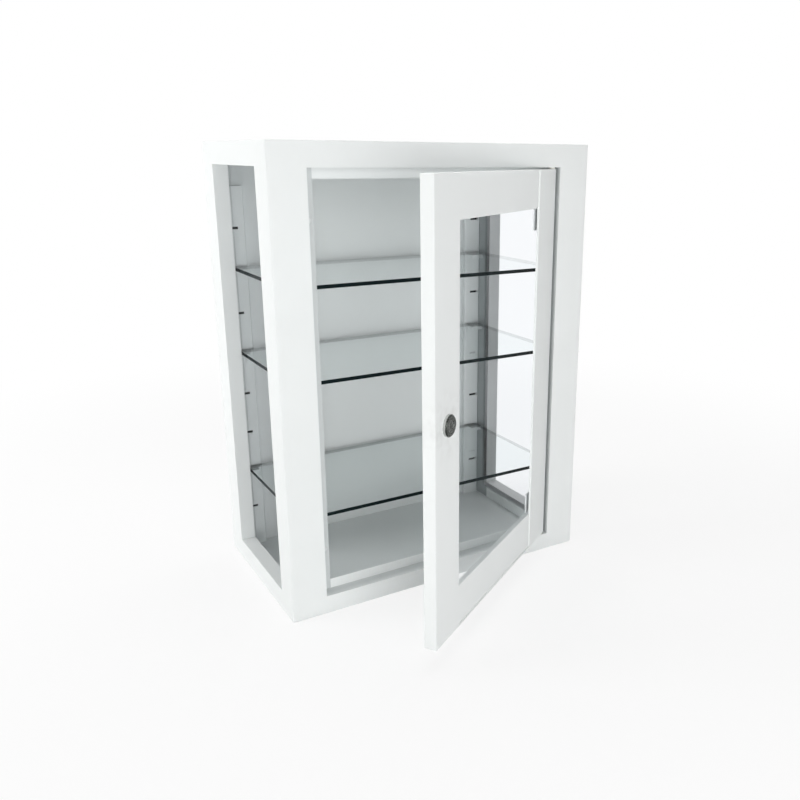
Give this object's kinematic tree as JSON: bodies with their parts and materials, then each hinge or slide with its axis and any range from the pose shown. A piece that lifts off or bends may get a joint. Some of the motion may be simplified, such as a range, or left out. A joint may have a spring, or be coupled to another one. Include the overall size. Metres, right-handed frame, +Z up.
{
  "type": "medicine cabinet",
  "caption": "White steel medicine cabinet with glass sides, glass shelves on clips in slotted uprights, and a right-hung framed glass door with a cam lock, standing part open.",
  "frame": {"origin": "middle of the carcass underside, which rests on a shelf or bench", "axes": "+Z up, +X to the right seen from the front, -Y out of the front, where the door opens"},
  "size_m": [0.458, 0.4445, 0.6],
  "materials": {
    "powder_coat": "white powder coat, satin, with a fine orange peel",
    "pane_glass": "clear float glass with a faint cool tint",
    "shelf_glass": "clear float glass with ground green edges",
    "glazing_tape": "pale foam glazing tape, matt",
    "buffer_rubber": "pale translucent rubber",
    "bush_nylon": "natural nylon, matt",
    "pin_steel": "bright drawn steel",
    "lock_plating": "dark nickel plating with fine turning marks and handling wear",
    "zinc_steel": "zinc-plated steel"
  },
  "bodies": {
    "carcass": {"back_panel": "powder_coat", "door_buffers": "buffer_rubber", "door_stop_bottom": "powder_coat", "door_stop_left": "powder_coat", "door_stop_right": "powder_coat", "door_stop_top": "powder_coat", "floor_panel": "powder_coat", "front_post_left": "powder_coat", "front_post_right": "powder_coat", "front_rail_bottom": "powder_coat", "front_rail_top": "powder_coat", "hinge_bush_bottom": "bush_nylon", "hinge_bush_top": "bush_nylon", "pane_tape_left": "glazing_tape", "pane_tape_right": "glazing_tape", "rear_post_left": "powder_coat", "rear_post_right": "powder_coat", "shelf_clips_lower": "powder_coat", "shelf_clips_middle": "powder_coat", "shelf_clips_upper": "powder_coat", "side_pane_left": "pane_glass", "side_pane_right": "pane_glass", "side_rail_bottom_left": "powder_coat", "side_rail_bottom_right": "powder_coat", "side_rail_top_left": "powder_coat", "side_rail_top_right": "powder_coat", "side_stile_left": "powder_coat", "side_stile_right": "powder_coat", "top_panel": "powder_coat", "upright_left": "powder_coat", "upright_right": "powder_coat"},
    "door": {"door_stile_lock": "powder_coat", "door_stile_hinge": "powder_coat", "door_rail_top": "powder_coat", "door_rail_bottom": "powder_coat", "door_edge_top": "powder_coat", "door_edge_bottom": "powder_coat", "door_pane": "pane_glass", "door_pane_clips": "powder_coat", "pane_clip_screws": "zinc_steel", "hinge_block_top": "pin_steel", "hinge_block_bottom": "pin_steel", "hinge_pin_top": "pin_steel", "hinge_pin_bottom": "pin_steel", "lock_barrel": "lock_plating", "lock_nut": "zinc_steel"},
    "key_lock": {"lock_plug": "lock_plating", "lock_cam": "zinc_steel", "cam_screw": "zinc_steel"},
    "shelf_lower_glass": {"shelf_lower": "shelf_glass"},
    "shelf_middle_glass": {"shelf_middle": "shelf_glass"},
    "shelf_upper_glass": {"shelf_upper": "shelf_glass"}
  },
  "joints": [
    {"name": "door_swing", "type": "hinge", "parent": "carcass", "child": "door", "pos_m": [0.17, -0.1245, 0.2975], "axis": [0, 0, 1], "range_deg": [-32.5, 77.5]},
    {"name": "lock_turn", "type": "hinge", "parent": "door", "child": "key_lock", "pos_m": [-0.09705, -0.29996, 0.2975], "axis": [-0.5373, 0.8434, 0], "range_deg": [0, 90]},
    {"name": "shelf_lower_lift", "type": "slide", "parent": "carcass", "child": "shelf_lower_glass", "axis": [0, 0, 1], "range_m": [0, 0.06]},
    {"name": "shelf_middle_lift", "type": "slide", "parent": "carcass", "child": "shelf_middle_glass", "axis": [0, 0, 1], "range_m": [0, 0.06]},
    {"name": "shelf_upper_lift", "type": "slide", "parent": "carcass", "child": "shelf_upper_glass", "axis": [0, 0, 1], "range_m": [0, 0.06]}
  ]
}
